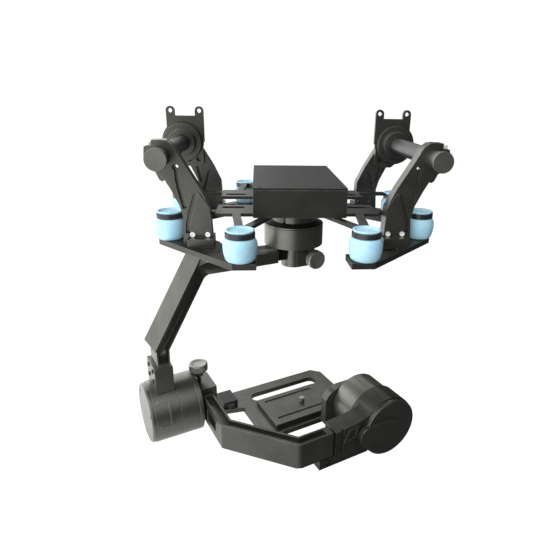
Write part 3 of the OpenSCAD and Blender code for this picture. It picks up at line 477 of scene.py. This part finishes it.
def new_object(name, mesh, material):
    """A smooth-shaded object from a finished bmesh, linked into the scene."""
    data = bpy.data.meshes.new(name)
    mesh.to_mesh(data)
    mesh.free()
    for polygon in data.polygons:
        polygon.use_smooth = True
    data.materials.append(material)
    obj = bpy.data.objects.new(name, data)
    bpy.context.scene.collection.objects.link(obj)
    return obj


def piece(name, mesh, material):
    """A visible piece of the gimbal, with its faces turned outwards."""
    bmesh.ops.recalc_face_normals(mesh, faces=mesh.faces)
    obj = new_object(name, mesh, material)
    return obj


DAMPER_RING_OUTER = 12.0 * MM
INNER_DAMPER_X = 50.5 * MM
OUTER_DAMPER_Y = 45 * MM


def damper_centres():
    """Middle of each of the eight dampers, from the far corner of their rings' box."""
    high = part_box("damper_rings")[1]
    outer_x = high[0] - DAMPER_RING_OUTER
    inner_y = high[1] - DAMPER_RING_OUTER
    return [
        Vector((side * x, end * y, 0))
        for side in (-1, 1)
        for end in (-1, 1)
        for x, y in ((INNER_DAMPER_X, inner_y), (outer_x, OUTER_DAMPER_Y))
    ]


def damper_profile(grip):
    """Damper from its bead under the plate to its rolled rim; grip is the ring's underside."""
    bead = [
        (0, -4.7), (3.0, -4.75), (5.4, -4.7), (6.4, -4.1), (6.4, -2.9), (5.5, -2.4), (4.9, -2.0),
        (4.95, -0.4),
    ]
    ball = [
        (5.6, 0.12), (10.0, 0.1), (11.2, 0.45), (12.2, 2.0), (13.0, 4.4), (13.6, 7.6),
        (13.9, 10.8), (13.8, 13.8), (13.3, 16.2),
    ]
    rim_from_grip = [
        (12.3, -1.1), (11.1, -0.15), (10.35, 0.8), (10.35, 3.6), (10.8, 4.6), (11.5, 5.1),
        (11.7, 5.7), (11.3, 6.2), (10.4, 6.35), (9.5, 6.0), (8.9, 5.3), (8.0, 4.9), (5.0, 4.75),
        (2.2, 4.8), (1.7, 5.0), (1.2, 5.0), (0.9, 4.4), (0, 4.2),
    ]
    return smooth_profile(bead + ball + [(r, grip + z) for r, z in rim_from_grip], steps=3)


def make_dampers():
    """Eight hollow rubber balls with a rolled top rim, gripped by the ring and by the plate."""
    middle, half_height = 10.5, 8.5
    plate_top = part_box("isolator_plate_left")[1][2]
    ring_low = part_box("damper_rings")[0][2]
    profile = damper_profile((ring_low - plate_top) / MM)
    mesh = bmesh.new()
    for number, centre in enumerate(damper_centres()):
        turn = 0.9 * number

        def radius_at(r, z, angle):
            """A slightly uneven ball with a parting line, turned differently on each damper."""
            free = max(0.0, 1 - abs(z - middle) / half_height)
            swell = 0.012 * math.sin(2 * angle + turn) + 0.006 * math.sin(3 * angle - 2 * turn)
            parting = 0.006 * math.exp(-((math.sin(angle - turn) / 0.03) ** 2))
            return r * (1 + free * (swell + parting))

        place = Matrix.Translation((centre.x, centre.y, plate_top))
        lathe(mesh, profile, segments=120, place=place, radius_at=radius_at)
    balls = piece("damper_balls", mesh, blue)
    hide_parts("dampers")
    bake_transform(balls)


KNOB_RADIUS = 9.5
KNOB_TOP = 8.0
KNURL_RIDGES = 72
KNURL_DEPTH = 0.28
KNURL_LOW, KNURL_HIGH, KNURL_FADE = 1.2, 6.8, 0.5
KNURL_INNER_LIMIT = 9.3


def knob_profile(stem, collar):
    """Thumbscrew seen from the side: knurled grip with rounded rims, a collar and the stem."""
    outline = [
        (0, 7.3), (3.0, 7.3), (5.6, 7.45), (6.3, 7.75), (7.6, KNOB_TOP), (8.7, 7.9), (9.2, 7.5),
        (9.45, 6.9), (KNOB_RADIUS, 6.3), (KNOB_RADIUS, 1.7), (9.45, 1.1), (9.2, 0.5), (8.7, 0.1),
        (7.8, 0.0), (4.6, 0.0), (4.5, -0.1), (4.5, 0.3 - collar), (4.2, -collar), (2.0, -collar),
        (2.0, 0.4 - stem), (1.6, -stem), (0, -stem),
    ]
    profile = []
    for a, b in zip(outline, outline[1:]):
        parts = 12 if a[0] == b[0] == KNOB_RADIUS else 1
        for k in range(parts):
            profile.append((a[0] + (b[0] - a[0]) * k / parts, a[1] + (b[1] - a[1]) * k / parts))
    return profile + outline[-1:]


def knurled(r, z, angle):
    """Radius of a knob's skin, with ridges that fade out towards its rims."""
    if r < KNURL_INNER_LIMIT or not KNURL_LOW < z < KNURL_HIGH:
        return r
    fade = min(1.0, (z - KNURL_LOW) / KNURL_FADE, (KNURL_HIGH - z) / KNURL_FADE)
    return r - KNURL_DEPTH * fade * (0.5 - 0.5 * math.cos(KNURL_RIDGES * angle))


def make_knob(name, node, outward, base, stem, collar, body):
    """A knurled aluminium thumbscrew on its CAD joint's axis."""
    mesh = bmesh.new()
    lathe(mesh, knob_profile(stem, collar), KNURL_RIDGES * 6, axis_frame(base, outward), knurled)
    knob = piece(name, mesh, knob_metal)
    normals = knob.modifiers.new("normals", "WEIGHTED_NORMAL")
    normals.keep_sharp = True
    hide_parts(node)
    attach(knob, body)


def make_knobs():
    joint = JOINTS["pan_knob_turn"]
    make_knob(
        "pan_knob_grip", "pan_thumbscrew", Vector(joint["axis"]), Vector(joint["pos_m"]),
        stem=15.7, collar=3.0, body="pan_knob",
    )
    low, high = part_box("roll_thumbscrew")
    centre = Vector(JOINTS["roll_knob_turn"]["pos_m"])
    centre.z = high[2] - KNOB_TOP * MM
    make_knob(
        "roll_knob_grip", "roll_thumbscrew", UP, centre,
        stem=(centre.z - low[2]) / MM, collar=6.0, body="roll_knob",
    )


def tube_profile(outer, length):
    """A tube's wall, with a fine groove between the turns of the winding tape."""
    wall, chamfer = 1.5, 0.2
    pitch, groove_half, groove_depth = 1.5, 0.3, 0.09
    turns = round(length / pitch)
    profile = [(outer - wall, 0.0), (outer - chamfer, 0.0), (outer, chamfer)]
    for i in range(1, turns):
        z = i * length / turns
        profile += [(outer, z - groove_half), (outer - groove_depth, z), (outer, z + groove_half)]
    profile += [(outer, length - chamfer), (outer - chamfer, length)]
    profile += [(outer - wall, length), (outer - wall, 0.0)]
    return profile


def make_tubes():
    """Two wound tubes. The left one replaces the CAD node, which holds both."""
    low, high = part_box("rail_tubes")
    outer = (high[2] - low[2]) / 2 / MM
    profile = tube_profile(outer, (high[1] - low[1]) / MM)
    for side, name in ((-1, "wound_tube_left"), (1, "wound_tube_right")):
        centre = Vector((side * (high[0] - outer * MM), high[1], (low[2] + high[2]) / 2))
        mesh = bmesh.new()
        lathe(mesh, profile, segments=72, place=axis_frame(centre, (0, -1, 0)))
        bmesh.ops.remove_doubles(mesh, verts=mesh.verts, dist=0.002 * MM)
        tube = piece(name, mesh, tube_black)
        if side < 0:
            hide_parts("rail_tubes")
        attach(tube, "hanger")


make_dampers()
make_knobs()
make_tubes()


# ---------- studio ----------

WHITE = 1.0
BRIGHT_SIDE = 1.8
DARK_SIDE = 0.03
OVERHEAD = 1.2


def studio_glow(tree, vector, dark_x, bright_x, overhead=False):
    """White towards the camera; as a light, a broad soft glow on the left that fades to the right."""
    apart = add(tree, "ShaderNodeSeparateXYZ")
    feed(tree, apart.inputs["Vector"], vector)
    light = remap(tree, apart.outputs["X"], dark_x, bright_x, DARK_SIDE, BRIGHT_SIDE)
    if overhead:
        high = remap(tree, apart.outputs["Z"], 0.15, 0.6, to_high=OVERHEAD)
        left = remap(tree, apart.outputs["X"], 0.85, 0.35)
        front = remap(tree, apart.outputs["Y"], 0.1, -0.3)
        above = calculate(tree, "MULTIPLY", calculate(tree, "MULTIPLY", high, left), front)
        light = calculate(tree, "MAXIMUM", light, above)
    path = add(tree, "ShaderNodeLightPath")
    mix = add(tree, "ShaderNodeMix", data_type="FLOAT")
    feed(tree, mix.inputs["Factor"], path.outputs["Is Camera Ray"])
    feed(tree, mix.inputs[FLOAT_A], light)
    feed(tree, mix.inputs[FLOAT_B], WHITE)
    return mix.outputs[FLOAT_RESULT]


def pale_floor():
    """Matt floor that glows by its place, as the world does by direction."""
    material, tree, shader = new_material("pale_floor")
    speckle = noise(tree, rest_position(tree), scale=6.0)
    geometry = add(tree, "ShaderNodeNewGeometry")
    glow = studio_glow(tree, geometry.outputs["Position"], dark_x=0.05, bright_x=-0.36)
    colour = mix_colour(tree, speckle, (0.06, 0.06, 0.06), (0.08, 0.08, 0.08))
    feed(tree, shader.inputs["Base Color"], colour)
    feed(tree, shader.inputs["Roughness"], 0.9)
    feed(tree, shader.inputs["Specular IOR Level"], 0.0)
    feed(tree, shader.inputs["Emission Color"], (WHITE, WHITE, WHITE))
    feed(tree, shader.inputs["Emission Strength"], glow)
    return material


def make_floor():
    """Pale floor that curves up into a backdrop well behind the object."""
    low = cad_bounds[0][2] - 20 * MM
    front, back, half_width, rise = -3.2, 2.6, 4.0, 3.6
    radius, steps = 1.2, 16
    profile = [(front, low)]
    for i in range(steps + 1):
        angle = math.pi / 2 * i / steps
        y = back - radius + radius * math.sin(angle)
        profile.append((y, low + radius - radius * math.cos(angle)))
    profile.append((back, low + rise))
    mesh = bmesh.new()
    rows = [[mesh.verts.new((x, y, z)) for x in (-half_width, half_width)] for y, z in profile]
    for a, b in zip(rows, rows[1:]):
        mesh.faces.new((a[0], a[1], b[1], b[0]))
    new_object("floor", mesh, pale_floor())


def make_camera():
    """Camera at the photograph's viewing angle: slightly left of centre, looking down."""
    place = (-0.0361, -0.4776, 0.0742)
    turn, down, lean = (math.radians(angle) for angle in (-5.04, 20.16, -1.21))
    data = bpy.data.cameras.new("camera")
    data.sensor_width = 36.0
    data.lens = 30.9
    data.shift_x = -0.033
    data.shift_y = -0.016
    data.clip_start = 10 * MM
    camera = bpy.data.objects.new("camera", data)
    camera.matrix_world = (
        Matrix.Translation(place)
        @ Matrix.Rotation(turn, 4, "Z")
        @ Matrix.Rotation(-down, 4, "X")
        @ Matrix.Rotation(lean, 4, "Y")
        @ Matrix.Rotation(math.pi / 2, 4, "X")
    )
    bpy.context.scene.collection.objects.link(camera)
    bpy.context.scene.camera = camera


def make_world():
    world = bpy.data.worlds.new("studio")
    world.use_nodes = True
    tree = world.node_tree
    background = tree.nodes["Background"]
    direction = add(tree, "ShaderNodeTexCoord").outputs["Generated"]
    glow = studio_glow(tree, direction, dark_x=-0.15, bright_x=-0.55, overhead=True)
    feed(tree, background.inputs["Color"], (WHITE, WHITE, WHITE))
    feed(tree, background.inputs["Strength"], glow)
    bpy.context.scene.world = world
    bpy.context.scene.view_settings.view_transform = "Standard"


def make_lamp(name, place, diameter, watts, glossy=True):
    """Round lamp aimed at the middle of the gimbal."""
    target = Vector((0, 0, -0.1))
    data = bpy.data.lights.new(name, "AREA")
    data.shape = "DISK"
    data.size = diameter
    data.energy = watts
    lamp = bpy.data.objects.new(name, data)
    lamp.visible_glossy = glossy
    lamp.location = place
    lamp.rotation_euler = (target - Vector(place)).to_track_quat("-Z", "Y").to_euler()
    bpy.context.scene.collection.objects.link(lamp)


make_floor()
make_camera()
make_world()
make_lamp("key", (-1.1, -0.9, 1.2), diameter=0.9, watts=7)
make_lamp("back", (0.3, 1.5, 1.2), diameter=1.0, watts=3.5)
make_lamp("front", (-0.5, -1.7, 0.7), diameter=1.4, watts=19, glossy=False)
